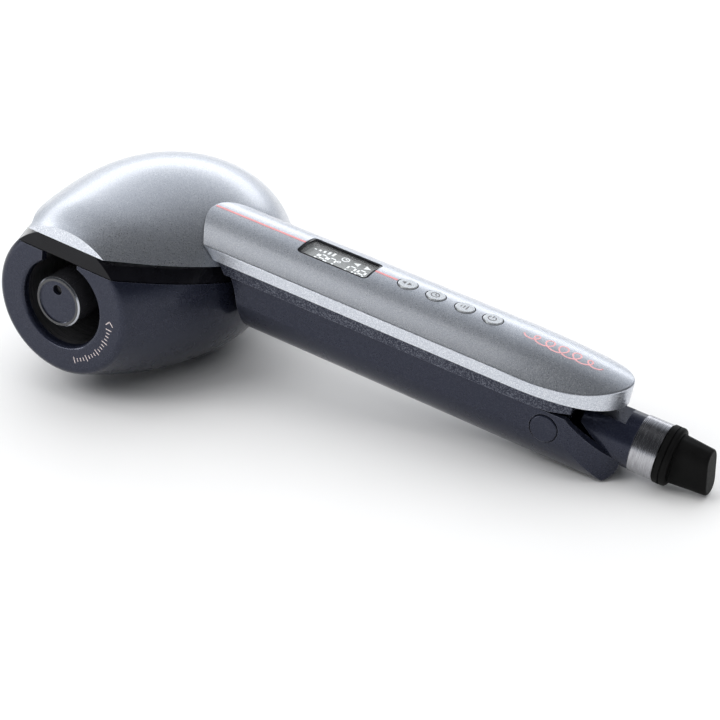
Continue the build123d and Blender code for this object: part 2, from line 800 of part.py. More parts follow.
with BuildPart() as handle_cover:
    add(plan_form(0, cover_bottom_z, 34))
    add(crown_form(0), mode=Mode.INTERSECT)
    top_face = handle_cover.faces().filter_by(Plane.XY, reverse=True).sort_by(SortBy.AREA)[-1]
    fillet(top_face.outer_wire().edges().filter_by_position(Axis.X, 20, 200), 0.7)
    add(handle_room.part, mode=Mode.SUBTRACT)
    with BuildSketch(Plane.XY.offset(cover_edge_z)):
        with Locations((window_middle, 0)):
            RectangleRounded(window_length, 2 * window_half_width, 2)
        with Locations([(x, 0) for x in button_x]):
            Circle(button_ring_r)
    extrude(amount=12, mode=Mode.SUBTRACT)
    with BuildSketch(Plane.XY.offset(cover_top_z - strip_depth)):
        for start, end in strip_spans:
            with Locations(((start + end) / 2, 0)):
                Rectangle(end - start, strip_width)
    extrude(amount=4, mode=Mode.SUBTRACT)
    add(dome_seam, mode=Mode.SUBTRACT)
handle_cover.part.label = "handle_cover"
pieces.append(handle_cover)

with BuildPart() as accent_strip:
    with BuildSketch(Plane.XY.offset(cover_top_z - strip_depth)):
        for start, end in strip_spans:
            with Locations(((start + end) / 2, 0)):
                Rectangle(end - start, strip_width)
    extrude(amount=strip_depth + 0.05)
    with BuildSketch(Plane.XY.offset(cover_edge_z)):
        with Locations((window_middle, 0)):
            RectangleRounded(window_length, 2 * window_half_width, 2)
    extrude(amount=12, mode=Mode.SUBTRACT)
    add(dome_seam, mode=Mode.SUBTRACT)
accent_strip.part.label = "accent_strip"
pieces.append(accent_strip)

with BuildPart() as display_bezel:
    with BuildSketch(Plane.XY.offset(bezel_bottom_z)):
        with Locations((window_middle, 0)):
            RectangleRounded(window_length, 2 * window_half_width, 2)
            RectangleRounded(glass_length, glass_width, 1.2, mode=Mode.SUBTRACT)
    extrude(amount=10)
    add(crown_form(0.25), mode=Mode.INTERSECT)
display_bezel.part.label = "display_bezel"
pieces.append(display_bezel)

with BuildPart() as display_window:
    with BuildSketch(Plane.XY.offset(26.2)):
        with Locations((window_middle, 0)):
            RectangleRounded(glass_length, glass_width, 1.2)
    extrude(amount=6)
    add(crown_form(0.9), mode=Mode.INTERSECT)
display_window.part.label = "display_window"
pieces.append(display_window)

with BuildPart() as lcd_module:
    with BuildSketch(Plane.XY.offset(bezel_bottom_z)):
        with Locations((window_middle, 0)):
            RectangleRounded(glass_length - 0.6, glass_width - 0.6, 1)
    extrude(amount=26.0 - bezel_bottom_z)
lcd_module.part.label = "lcd_module"
pieces.append(lcd_module)

with BuildPart() as button_rings:
    with BuildSketch(Plane.XY.offset(26.0)):
        with Locations([(x, 0) for x in button_x]):
            Circle(button_ring_r)
            Circle(button_r + running_gap, mode=Mode.SUBTRACT)
    extrude(amount=6)
    add(crown_form(0.15), mode=Mode.INTERSECT)
button_rings.part.label = "button_rings"
pieces.append(button_rings)

button_top_z = cover_top_z + 0.25
button_foot_z = 24.4
for name, x in zip(button_names, button_x):
    with BuildPart() as button:
        with BuildSketch(Plane.XY.offset(button_foot_z + 0.8)):
            with Locations((x, 0)):
                Circle(button_r)
        extrude(amount=button_top_z - button_foot_z - 0.8)
        fillet(button.faces().sort_by(Axis.Z)[-1].edges(), 0.45)
        with BuildSketch(Plane.XY.offset(button_foot_z)):
            with Locations((x, 0)):
                Circle(button_r + 0.9)
        extrude(amount=0.8)
    button.part.label = name
    pieces.append(button)

board_z = 20.4
board_thickness = 1.6
switch_height = button_foot_z - button_travel - 0.15 - board_z - board_thickness
with BuildPart() as control_board:
    with BuildSketch(Plane.XY.offset(board_z)):
        with Locations((105, 0)):
            RectangleRounded(92, 27, 2)
    extrude(amount=board_thickness)
control_board.part.label = "control_board"
pieces.append(control_board)

with BuildPart() as display_spacer:
    with BuildSketch(Plane.XY.offset(board_z + board_thickness)):
        with Locations((window_middle, 0)):
            Rectangle(window_length - 4, 10)
            Rectangle(window_length - 8, 6, mode=Mode.SUBTRACT)
    extrude(amount=bezel_bottom_z - board_z - board_thickness)
display_spacer.part.label = "display_spacer"
pieces.append(display_spacer)

with BuildPart() as tact_switches:
    with BuildSketch(Plane.XY.offset(board_z + board_thickness)):
        with Locations([(x, 0) for x in button_x]):
            Rectangle(5, 5)
    extrude(amount=switch_height - 0.7)
    with BuildSketch(Plane.XY.offset(board_z + board_thickness)):
        with Locations([(x, 0) for x in button_x]):
            Circle(1.5)
    extrude(amount=switch_height)
tact_switches.part.label = "tact_switches"
pieces.append(tact_switches)

with BuildPart() as buzzer:
    with BuildSketch(Plane.XY.offset(board_z - 3)):
        with Locations((64, 7)):
            Circle(4)
            Circle(0.8, mode=Mode.SUBTRACT)
    extrude(amount=3)
buzzer.part.label = "buzzer"
pieces.append(buzzer)

ear_inner_y = 6.4
ear_outer_y = 9.4
frame_inset = 1.7
frame_floor = 1.8
frame_end_x = 182.0
frame_screw_x = (58.5, 152.5)
with BuildPart() as upper_arm_frame:
    add(plan_form(frame_inset, frame_bottom_z, cover_bottom_z - 0.1))
    add(plan_form(frame_inset + 1.8, frame_bottom_z + frame_floor, cover_bottom_z + 1), mode=Mode.SUBTRACT)
    with BuildSketch(Plane.XY.offset(frame_bottom_z - 1)):
        with Locations((frame_end_x + 20, 0)):
            Rectangle(40, 60)
    extrude(amount=12, mode=Mode.SUBTRACT)
    # The floor rises past the hinge, so its end clears the lower arm when the jaws open
    with BuildSketch(Plane.XZ):
        with BuildLine():
            Polyline(
                (hinge_x, frame_bottom_z),
                (frame_end_x + 1, frame_bottom_z),
                (frame_end_x + 1, frame_bottom_z + 1.2),
                close=True,
            )
        make_face()
    extrude(amount=20, both=True, mode=Mode.SUBTRACT)
    add(dome_seam, mode=Mode.SUBTRACT)
    add(bowl_room, mode=Mode.SUBTRACT)
    for side in (-1, 1):
        with BuildSketch(across(side * ear_inner_y)):
            with Locations((hinge_x, hinge_z)):
                Circle(5)
            with BuildLine():
                Polyline(
                    (hinge_x - 5, hinge_z),
                    (hinge_x - 9, frame_bottom_z + 1),
                    (hinge_x + 7, frame_bottom_z + 1),
                    (hinge_x + 5, hinge_z),
                    close=True,
                )
            make_face()
        extrude(amount=-side * (ear_outer_y - ear_inner_y))
    with BuildSketch(across(0)):
        with Locations((hinge_x, hinge_z)):
            Circle(pin_r + running_gap)
    extrude(amount=30, both=True, mode=Mode.SUBTRACT)
    for x in frame_screw_x:
        with BuildSketch(Plane.XY.offset(frame_bottom_z + frame_floor)):
            with Locations((x, 0)):
                Circle(screw_r + 1.6)
        extrude(amount=board_z - frame_bottom_z - frame_floor)
        with BuildSketch(Plane.XY.offset(frame_bottom_z - 1)):
            with Locations((x, 0)):
                Circle(screw_r)
        extrude(amount=12, mode=Mode.SUBTRACT)
        with BuildSketch(Plane.XY.offset(frame_bottom_z - 1)):
            with Locations((x, 0)):
                Circle(screw_head_r)
        extrude(amount=2.2, mode=Mode.SUBTRACT)
upper_arm_frame.part.label = "upper_arm_frame"
pieces.append(upper_arm_frame)

with BuildPart() as frame_screws:
    for x in frame_screw_x:
        with BuildSketch(Plane.XY.offset(frame_bottom_z + 0.2)):
            with Locations((x, 0)):
                Circle(screw_head_r)
                RegularPolygon(1.1, 6, mode=Mode.SUBTRACT)
        extrude(amount=1)
        with BuildSketch(Plane.XY.offset(frame_bottom_z + 1.2)):
            with Locations((x, 0)):
                Circle(screw_r)
        extrude(amount=board_z - frame_bottom_z - 1.2)
frame_screws.part.label = "frame_screws"
pieces.append(frame_screws)

# Closed-jaw sensing: a magnet in the upper frame over a sensor under the lower deck
with BuildPart() as jaw_magnet:
    with BuildSketch(Plane.XY.offset(frame_bottom_z + frame_floor)):
        with Locations((66, -9)):
            Circle(3)
    extrude(amount=2)
jaw_magnet.part.label = "jaw_magnet"
pieces.append(jaw_magnet)

with BuildPart() as jaw_sensor:
    with BuildSketch(Plane.XY.offset(deck_bottom_z - 2.2)):
        with Locations((66, -9)):
            Rectangle(5, 4)
    extrude(amount=2.2)
jaw_sensor.part.label = "jaw_sensor"
pieces.append(jaw_sensor)

# Opening spring: the coil of a torsion spring around the hinge pin, without its two legs
spring_r = 3.7
wire_r = 0.45
coil_pitch = 1.1
coil_turns = 6
spring_start_y = -coil_pitch * coil_turns / 2
with BuildPart() as opening_spring:
    with BuildLine() as coil:
        coil_start = (hinge_x, spring_start_y, hinge_z)
        Helix(coil_pitch, coil_pitch * coil_turns, spring_r, center=coil_start, direction=(0, 1, 0))
    with BuildSketch(Plane(origin=coil.line @ 0, z_dir=coil.line % 0)):
        Circle(wire_r)
    sweep(is_frenet=True)
opening_spring.part.label = "opening_spring"
pieces.append(opening_spring)

# ---- Set down on the table and write one file per piece ----

set_down = Location((0, 0, 0), (0, rest_tilt, 0)) * Location(-rest_point)
for piece in pieces:
    label = piece.part.label
    resting = piece.part.moved(set_down)
    resting.label = label
    export_step(resting, f"parts/{label}.step")
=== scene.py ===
import json
import math

import bmesh
import bpy
from mathutils import Matrix, Vector
from mathutils.bvhtree import BVHTree


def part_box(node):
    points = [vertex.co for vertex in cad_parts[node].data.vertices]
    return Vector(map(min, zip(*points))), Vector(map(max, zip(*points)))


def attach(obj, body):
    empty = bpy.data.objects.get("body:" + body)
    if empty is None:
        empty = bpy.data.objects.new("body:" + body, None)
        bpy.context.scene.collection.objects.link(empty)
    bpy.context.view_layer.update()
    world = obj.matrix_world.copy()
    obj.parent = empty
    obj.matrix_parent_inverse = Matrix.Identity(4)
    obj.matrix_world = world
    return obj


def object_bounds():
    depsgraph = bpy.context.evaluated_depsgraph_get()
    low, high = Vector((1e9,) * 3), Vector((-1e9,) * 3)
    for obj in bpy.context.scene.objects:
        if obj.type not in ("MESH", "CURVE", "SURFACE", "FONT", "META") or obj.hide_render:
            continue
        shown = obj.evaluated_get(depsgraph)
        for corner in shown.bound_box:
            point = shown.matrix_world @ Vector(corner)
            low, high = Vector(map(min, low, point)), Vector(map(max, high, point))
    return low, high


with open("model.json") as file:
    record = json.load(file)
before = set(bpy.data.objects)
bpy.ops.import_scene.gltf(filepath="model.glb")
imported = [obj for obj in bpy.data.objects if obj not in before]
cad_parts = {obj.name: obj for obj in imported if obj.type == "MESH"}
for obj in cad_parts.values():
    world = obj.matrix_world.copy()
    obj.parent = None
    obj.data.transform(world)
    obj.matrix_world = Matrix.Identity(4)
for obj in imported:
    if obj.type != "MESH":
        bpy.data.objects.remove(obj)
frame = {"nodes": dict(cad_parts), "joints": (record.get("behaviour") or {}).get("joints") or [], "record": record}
cad_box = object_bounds()

MM = 0.001
nodes = frame["nodes"]
joints = {joint["name"]: joint for joint in frame["joints"]}

# The curler lies tilted on the table. These axes are the handle's own: along it to the tail, and up
# through its display. The origin is on the curl barrel's axis, in the handle's middle plane.
handle_origin = Vector(joints["rotor_spin"]["pos_m"])
handle_along = Vector(joints["cord_swivel"]["axis"]).normalized()
handle_side = Vector((0, 1, 0))
handle_up = handle_along.cross(handle_side)


def handle_point(x, y, z):
    """Row-frame place of a point given in millimetres along, across and above the handle."""
    return handle_origin + (handle_along * x + handle_side * y + handle_up * z) * MM


# ---- Camera and lights ----


def aim_camera(azimuth, elevation, roll, distance, aim, lens, shift):
    """Camera that looks at aim from distance in metres; azimuth 0 looks along +Y, and lens is in mm."""
    back = Vector(
        (
            math.sin(azimuth) * math.cos(elevation),
            -math.cos(azimuth) * math.cos(elevation),
            math.sin(elevation),
        )
    )
    data = bpy.data.cameras.new("camera")
    data.lens = lens
    data.shift_x, data.shift_y = shift
    data.clip_start = 0.01
    data.clip_end = 20
    camera = bpy.data.objects.new("camera", data)
    camera.rotation_mode = "QUATERNION"
    camera.location = aim + back * distance
    rolled = Matrix.Rotation(roll, 3, "Z").to_quaternion()
    camera.rotation_quaternion = (-back).to_track_quat("-Z", "Y") @ rolled
    bpy.context.scene.collection.objects.link(camera)
    bpy.context.scene.camera = camera


def hang_light(name, kind, power, mirrored):
    """Adds a light at the origin, shining down. Unless mirrored, no glossy surface reflects it."""
    data = bpy.data.lights.new(name, kind)
    data.energy = power
    light = bpy.data.objects.new(name, data)
    light.visible_glossy = mirrored
    bpy.context.scene.collection.objects.link(light)
    return light


def softbox(name, place, target, size, power, mirrored):
    """Rectangular area light at place, turned to target. Metres and watts."""
    light = hang_light(name, "AREA", power, mirrored)
    light.data.shape = "RECTANGLE"
    light.data.size, light.data.size_y = size
    light.location = place
    light.rotation_mode = "QUATERNION"
    light.rotation_quaternion = (target - light.location).to_track_quat("-Z", "Y")


def soft_sky(strength, spread):
    """Wide light from straight above that keeps the floor evenly pale."""
    light = hang_light("soft_sky", "SUN", strength, mirrored=False)
    light.data.angle = spread


def studio():
    """Camera at the photograph's angle, with soft light from above, the far side and the front left."""
    aim_camera(
        azimuth=math.radians(31.241),
        elevation=math.radians(25.536),
        roll=math.radians(-0.204),
        distance=0.6787,
        aim=Vector((0.06514, 0, 0.02396)),
        lens=90.78,
        shift=(0.1, -0.05),
    )
    soft_sky(strength=2.1, spread=math.radians(110))
    # Place from the object's centre, width and height, power, and whether glossy surfaces mirror it.
    softboxes = {
        "overhead": ((-0.1, 0.3, 1.0), (1.6, 1.4), 3.5, False),
        "front_key": ((-0.5, -0.7, 0.7), (0.5, 0.5), 3.5, False),
        "far_side": ((-0.5, 0.95, 0.36), (1.3, 0.26), 1.7, True),
        "crown": ((-0.34, 0.0, 1.0), (0.5, 0.6), 0.8, True),
        "left_fill": ((-0.8, -0.95, 0.03), (0.6, 0.25), 3.5, True),
    }
    centre = (cad_box[0] + cad_box[1]) / 2
    for name, (offset, size, power, mirrored) in softboxes.items():
        softbox(name, centre + Vector(offset), centre, size, power, mirrored)
    backdrop()


def ramp(tree, value, low, high, to_low, to_high):
    """Smooth step: value between low and high, carried to between to_low and to_high."""
    step = tree.nodes.new("ShaderNodeMapRange")
    step.interpolation_type = "SMOOTHSTEP"
    tree.links.new(value, step.inputs["Value"])
    limits = {"From Min": low, "From Max": high, "To Min": to_low, "To Max": to_high}
    for socket, limit in limits.items():
        step.inputs[socket].default_value = limit
    return step.outputs[0]


def backdrop():
    """World light: bright low behind the object and round the horizon, dark overhead."""
    world = bpy.data.worlds.new("studio_world")
    world.use_nodes = True
    tree = world.node_tree
    direction = tree.nodes.new("ShaderNodeTexCoord").outputs["Generated"]
    towards_glow = tree.nodes.new("ShaderNodeVectorMath")
    towards_glow.operation = "DOT_PRODUCT"
    behind_object = Vector((-0.45, 0.86, 0.1))
    towards_glow.inputs[1].default_value = behind_object.normalized()
    tree.links.new(direction, towards_glow.inputs[0])
    parts = tree.nodes.new("ShaderNodeSeparateXYZ")
    tree.links.new(direction, parts.inputs[0])
    glow = ramp(tree, towards_glow.outputs["Value"], 0.42, 0.97, 0.06, 0.85)
    horizon = ramp(tree, parts.outputs["Z"], 0.02, 0.25, 0.7, 0.0)
    brighter = tree.nodes.new("ShaderNodeMath")
    brighter.operation = "MAXIMUM"
    tree.links.new(glow, brighter.inputs[0])
    tree.links.new(horizon, brighter.inputs[1])
    background = tree.nodes["Background"]
    background.inputs["Color"].default_value = (0.86, 0.90, 0.96, 1)
    tree.links.new(brighter.outputs[0], background.inputs["Strength"])
    bpy.context.scene.world = world
    bpy.context.scene.view_settings.view_transform = "Standard"


# ---- Materials ----


class Finish:
    """Node tree of one material, with short calls for the nodes that the materials share."""

    def __init__(self, name, **sockets):
        self.material = bpy.data.materials.new(name)
        self.material.use_nodes = True
        self.tree = self.material.node_tree
        self.shader = self.tree.nodes["Principled BSDF"]
        for socket, value in sockets.items():
            self.shader.inputs[socket.replace("_", " ")].default_value = value
        self.place = self.node("ShaderNodeTexCoord").outputs["Object"]

    def node(self, kind, inputs=None, **settings):
        """Adds a node, sets its properties, and links or sets its inputs."""
        made = self.tree.nodes.new(kind)
        for key, value in settings.items():
            setattr(made, key, value)
        for key, value in (inputs or {}).items():
            if isinstance(value, bpy.types.NodeSocket):
                self.tree.links.new(value, made.inputs[key])
            else:
                made.inputs[key].default_value = value
        return made

    def stretched(self, axis, along, across):
        """Coordinates scaled by along in the direction of axis, and by across in the other two."""
        turn = axis.to_track_quat("X", "Z").inverted().to_euler()
        turned = self.node("ShaderNodeMapping", {"Vector": self.place, "Rotation": turn})
        scale = (along, across, across)
        return self.node("ShaderNodeMapping", {"Vector": turned.outputs[0], "Scale": scale}).outputs[0]

    def noise(self, size, detail=3.0, place=None):
        """Soft noise whose features are about size across, from 0 to 1."""
        inputs = {"Vector": place or self.place, "Scale": 1 / size, "Detail": detail}
        return self.node("ShaderNodeTexNoise", inputs).outputs["Fac"]

    def flakes(self, size):
        """A random value from 0 to 1 for each small cell."""
        cells = self.node("ShaderNodeTexVoronoi", {"Vector": self.place, "Scale": 1 / size})
        return self.node("ShaderNodeSeparateColor", {"Color": cells.outputs["Color"]}).outputs[0]

    def span(self, value, low, high, to_low, to_high):
        """value between low and high, carried to between to_low and to_high."""
        limits = {"From Min": low, "From Max": high, "To Min": to_low, "To Max": to_high}
        return self.node("ShaderNodeMapRange", {"Value": value, **limits}).outputs[0]

    def maths(self, operation, first, second):
        """Result of one operation on two numbers."""
        return self.node("ShaderNodeMath", {0: first, 1: second}, operation=operation).outputs[0]

    def mix(self, share, first, second):
        """Colour that goes from first to second as share goes from 0 to 1."""
        first_socket, second_socket, result_socket = 6, 7, 2
        made = self.node("ShaderNodeMix", {"Factor": share}, data_type="RGBA")
        for index, value in ((first_socket, first), (second_socket, second)):
            if isinstance(value, bpy.types.NodeSocket):
                self.tree.links.new(value, made.inputs[index])
            else:
                made.inputs[index].default_value = (*value, 1)
        return made.outputs[result_socket]

    def edges(self, radius):
        """1 at sharp edges and 0 away from them."""
        likeness_when_flat, likeness_at_edge = 0.995, 0.8
        soft = self.node("ShaderNodeBevel", {"Radius": radius}, samples=4).outputs[0]
        true = self.node("ShaderNodeNewGeometry").outputs["Normal"]
        likeness = self.node("ShaderNodeVectorMath", {0: soft, 1: true}, operation="DOT_PRODUCT")
        return self.span(likeness.outputs["Value"], likeness_when_flat, likeness_at_edge, 0, 1)

    def bump(self, heights):
        """Sets the normal from several (height, strength, distance) layers."""
        normal = None
        for height, strength, distance in heights:
            inputs = {"Height": height, "Strength": strength, "Distance": distance}
            if normal:
                inputs["Normal"] = normal
            normal = self.node("ShaderNodeBump", inputs).outputs[0]
        self.set("Normal", normal)

    def set(self, socket, value):
        """Links value to a socket of the shader."""
        self.tree.links.new(value, self.shader.inputs[socket])


def silver_paint():
    """Pearl silver lacquer: fine bright flakes under a clear coat with a slight orange peel."""
    finish = Finish("silver_paint", Metallic=0.92, Coat_Weight=0.55, Coat_Roughness=0.16)
    fine = finish.flakes(0.2 * MM)
    cloud = finish.noise(14 * MM)
    pigment = finish.mix(finish.span(fine, 0.5, 1, 0, 1), (0.53, 0.56, 0.62), (0.90, 0.92, 0.96))
    veiled = finish.mix(finish.span(cloud, 0.3, 0.7, 0, 0.18), pigment, (0.55, 0.58, 0.64))
    edge_wear_and_highlight = finish.mix(finish.maths("MULTIPLY", finish.edges(0.25 * MM), 0.35), veiled, (0.86, 0.88, 0.9))
    finish.set("Base Color", edge_wear_and_highlight)
    finish.set("Roughness", finish.span(fine, 0, 1, 0.27, 0.43))
    finish.bump(((fine, 0.10, 0.02 * MM), (finish.noise(1.6 * MM, 2), 0.06, 0.03 * MM)))
    return finish.material


def graphite_paint(name, pearl, roughness):
    """Dark blue-grey lacquer with a scatter of pearl flakes and handling marks."""
    finish = Finish(name, Metallic=0.5, Specular_IOR_Level=0.3, Coat_Weight=0.25, Coat_Roughness=0.1)
    fine = finish.flakes(0.3 * MM)
    rub = finish.noise(9 * MM, 5)
    pigment = finish.mix(finish.span(fine, 0.45, 1, 0, pearl), (0.016, 0.019, 0.036), (0.30, 0.32, 0.38))
    # Edges lightened through the bevel mask: partly wear, partly a painted highlight along the rims.
    edge_wear_and_highlight = finish.mix(finish.maths("MULTIPLY", finish.edges(0.2 * MM), 0.6), pigment, (0.28, 0.29, 0.35))
    finish.set("Base Color", edge_wear_and_highlight)
    finish.set("Roughness", finish.span(rub, 0.35, 0.7, roughness - 0.04, roughness + 0.06))
    finish.bump(((fine, 0.08, 0.02 * MM), (finish.noise(1.2 * MM, 2), 0.06, 0.02 * MM)))
    return finish.material


def black_gloss():
    """Polished black plastic with faint smudges and fine hairline scratches."""
    finish = Finish("black_gloss", Specular_IOR_Level=0.16, Coat_Weight=0.08, Coat_Roughness=0.04)
    smudge = finish.noise(6 * MM, 6)
    hairline = finish.noise(0.25 * MM, 1, finish.stretched(handle_along, 0.05, 1))
    finish.set("Base Color", finish.mix(smudge, (0.003, 0.003, 0.004), (0.008, 0.008, 0.011)))
    finish.set("Roughness", finish.span(smudge, 0.35, 0.75, 0.08, 0.17))
    finish.bump(((hairline, 0.03, 0.01 * MM),))
    return finish.material


def black_matte():
    """Moulded black plastic with a fine spark-eroded grain."""
    finish = Finish("black_matte", Specular_IOR_Level=0.2)
    grain = finish.noise(0.35 * MM, 4)
    finish.set("Base Color", finish.mix(finish.noise(7 * MM), (0.010, 0.010, 0.012), (0.022, 0.022, 0.026)))
    finish.set("Roughness", finish.span(grain, 0.3, 0.7, 0.48, 0.66))
    finish.bump(((grain, 0.3, 0.05 * MM),))
    return finish.material


def brushed_metal(name, dark, light, roughness, axis, streak, metallic=1.0):
    """Metal with streaks drawn round axis: they vary along it and hardly across it."""
    finish = Finish(name, Metallic=metallic)
    streaks = finish.noise(streak, 3, finish.stretched(axis, 1, 0.03))
    stain = finish.noise(5 * MM, 4)
    tone = finish.mix(finish.span(streaks, 0.3, 0.7, 0, 1), dark, light)
    finish.set("Base Color", finish.mix(finish.span(stain, 0.5, 0.8, 0, 0.3), tone, dark))
    finish.set("Roughness", finish.span(streaks, 0.3, 0.7, roughness - 0.05, roughness + 0.08))
    finish.bump(((streaks, 0.12, 0.02 * MM),))
    return finish.material


def zinc_steel():
    """Plated steel, slightly mottled, for screws, pins, the spring and the motor can."""
    finish = Finish("steel", Metallic=1.0)
    mottle = finish.noise(1.1 * MM, 5)
    finish.set("Base Color", finish.mix(mottle, (0.42, 0.43, 0.45), (0.70, 0.71, 0.72)))
    finish.set("Roughness", finish.span(mottle, 0.3, 0.7, 0.24, 0.42))
    finish.bump(((mottle, 0.1, 0.02 * MM),))
    return finish.material


def barrel_coat():
    """Black ceramic coat, worn to bright metal on the chamfer at the mouth end."""
    finish = Finish("barrel_coat", Coat_Weight=0.5, Coat_Roughness=0.08)
    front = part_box("curl_barrel")[0].y
    depth = finish.node("ShaderNodeSeparateXYZ", {"Vector": finish.place}).outputs["Y"]
    behind_face = finish.span(depth, front + 0.02 * MM, front + 0.06 * MM, 0, 1)
    before_wall = finish.span(depth, front + 0.6 * MM, front + 0.5 * MM, 0, 1)
    bare = finish.maths("MULTIPLY", behind_face, before_wall)
    cloud = finish.noise(3 * MM, 4)
    coat = finish.mix(cloud, (0.012, 0.012, 0.014), (0.030, 0.030, 0.034))
    finish.set("Base Color", finish.mix(bare, coat, (0.50, 0.52, 0.56)))
    finish.set("Metallic", bare)
    finish.set("Roughness", finish.span(cloud, 0.3, 0.7, 0.16, 0.28))
    finish.bump(((finish.noise(0.5 * MM), 0.05, 0.02 * MM),))
    return finish.material


def plain_plastic(name, dark, light, roughness, grain_size, **sockets):
    """Moulded plastic or print whose tone drifts between two colours, with a fine grain."""
    finish = Finish(name, **sockets)
    grain = finish.noise(grain_size, 4)
    finish.set("Base Color", finish.mix(finish.noise(5 * MM, 4), dark, light))
    finish.set("Roughness", finish.span(grain, 0.3, 0.7, roughness - 0.06, roughness + 0.08))
    finish.bump(((grain, 0.15, 0.02 * MM),))
    return finish.material


def window_glass():
    """Clear hard-coated display window with a faint haze of fingerprints."""
    finish = Finish("window_glass", Coat_Weight=1.0, Coat_Roughness=0.03, Alpha=0.12)
    haze = finish.noise(4 * MM, 5)
    finish.set("Base Color", finish.mix(haze, (0.80, 0.84, 0.86), (0.92, 0.94, 0.95)))
    finish.set("Roughness", finish.span(haze, 0.4, 0.8, 0.04, 0.16))
    finish.bump(((finish.noise(9 * MM, 1), 0.02, 0.02 * MM),))
    return finish.material


def button_silver():
    """Satin silver button caps with very fine flakes."""
    finish = Finish("button_silver", Metallic=0.85, Coat_Weight=0.4, Coat_Roughness=0.12)
    fine = finish.flakes(0.16 * MM)
    finish.set("Base Color", finish.mix(fine, (0.66, 0.69, 0.72), (0.86, 0.88, 0.90)))
    finish.set("Roughness", finish.span(fine, 0, 1, 0.26, 0.38))
    finish.bump(((fine, 0.06, 0.02 * MM),))
    return finish.material


def board_green():
    """Solder mask over tracks, which show as slightly raised lighter lines."""
    finish = Finish("board_green", Coat_Weight=0.3, Coat_Roughness=0.1)
    tracks_per_metre = 260.0
    bricks = {"Vector": finish.place, "Scale": tracks_per_metre, "Mortar Size": 0.09, "Bias": 0.2}
    tracks = finish.node("ShaderNodeTexBrick", bricks).outputs["Fac"]
    finish.set("Base Color", finish.mix(tracks, (0.012, 0.10, 0.045), (0.05, 0.24, 0.11)))
    finish.set("Roughness", finish.span(finish.noise(2 * MM), 0.3, 0.7, 0.25, 0.4))
    finish.bump(((tracks, 0.2, 0.03 * MM),))
    return finish.material


def finishes():
    """One material for each slot of the record."""
    along_barrel = Vector((0, 1, 0))
    rubber = plain_plastic(
        "stub_rubber", (0.003, 0.003, 0.003), (0.008, 0.008, 0.008), 0.5, 0.5 * MM, Specular_IOR_Level=0.06
    )
    return {
        "silver_paint": silver_paint(),
        "dark_paint": graphite_paint("dark_paint", 0.05, 0.26),
        "black_gloss": black_gloss(),
        "black_matte": black_matte(),
        "chamber_metal": brushed_metal(
            "chamber_metal", (0.10, 0.10, 0.11), (0.17, 0.17, 0.18), 0.3, along_barrel, 0.5 * MM, 0.7
        ),
        "barrel_coat": barrel_coat(),
        "collar_chrome": brushed_metal(
            "collar_chrome", (0.30, 0.30, 0.32), (0.60, 0.60, 0.63), 0.22, handle_along, 0.14 * MM
        ),
        "steel": zinc_steel(),
        "gear_plastic": plain_plastic(
            "gear_plastic", (0.66, 0.64, 0.58), (0.80, 0.78, 0.72), 0.42, 0.4 * MM
        ),
        "accent_pink": plain_plastic("accent_pink", (0.74, 0.25, 0.27), (0.86, 0.36, 0.37), 0.34, 0.3 * MM),
        "window_glass": window_glass(),
        "lcd_grey": plain_plastic("lcd_grey", (0.17, 0.18, 0.18), (0.27, 0.28, 0.28), 0.28, 0.12 * MM),
        "button_silver": button_silver(),
        "board_green": board_green(),
        "stub_rubber": rubber,
        "ceramic": plain_plastic("ceramic", (0.62, 0.60, 0.55), (0.80, 0.78, 0.73), 0.62, 0.6 * MM),
    }


def marks():
    """Materials of the printed marks, which aren't slots of the record."""
    return {
        "mark_pale": plain_plastic("mark_pale", (0.58, 0.50, 0.50), (0.72, 0.62, 0.61), 0.4, 0.2 * MM),
        "mark_pink": plain_plastic("mark_pink", (0.80, 0.38, 0.40), (0.90, 0.50, 0.52), 0.36, 0.2 * MM),
        "mark_grey": plain_plastic("mark_grey", (0.10, 0.10, 0.11), (0.17, 0.17, 0.18), 0.5, 0.2 * MM),
        "figure_white": plain_plastic(
            "figure_white",
            (0.74, 0.76, 0.76),
            (0.86, 0.88, 0.88),
            0.4,
            0.2 * MM,
            Emission_Color=(0.9, 0.94, 1.0, 1),
            Emission_Strength=0.4,
        ),
    }


def paint_frame(materials):
    """Gives each CAD node the material of its slot in the record, and the arm frame a lighter copy with more
    pearl, whose bright flakes also paint in the frame's sheen.
    """
    for subpart in frame["record"]["subparts"]:
        mesh = nodes[subpart["node"]].data
        mesh.materials.clear()
        mesh.materials.append(materials[subpart["material_slot"]])
    # A lighter copy of the dark paint: more bright pearl flakes, partly pearl and partly a painted sheen on the
    # frame.
    nodes["upper_arm_frame"].data.materials[0] = graphite_paint("dark_paint_pearl_sheen", 0.4, 0.32)


# ---- Printed marks and display ----

# How far a printed mark reaches into the surface under it, in mm.
SUNK = 0.02


def along_handle(node):
    """Place of a CAD node's middle along the handle, in mm."""
    low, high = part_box(node)
    return ((low + high) / 2 - handle_origin).dot(handle_along) / MM


def surface_finder(node):
    """Function that drops a point of the handle's x and y, in mm, onto the top of a CAD node."""
    above_handle = 60
    mesh = nodes[node].data
    corners = [vertex.co for vertex in mesh.vertices]
    tree = BVHTree.FromPolygons(corners, [face.vertices for face in mesh.polygons])

    def find(x, y):
        return tree.ray_cast(handle_point(x, y, above_handle), -handle_up)[:2]

    return find


def flat_finder(height):
    """Function that puts a point on a plane across the handle at a height in millimetres."""
    return lambda x, y: (handle_point(x, y, height), handle_up)


def ring_finder(centre, face_y):
    """Function that puts a point on the mouth ring's front face, from x and z in mm from centre."""
    outward = Vector((0, -1, 0))
    return lambda x, z: (Vector((centre.x + x * MM, face_y, centre.z + z * MM)), outward)


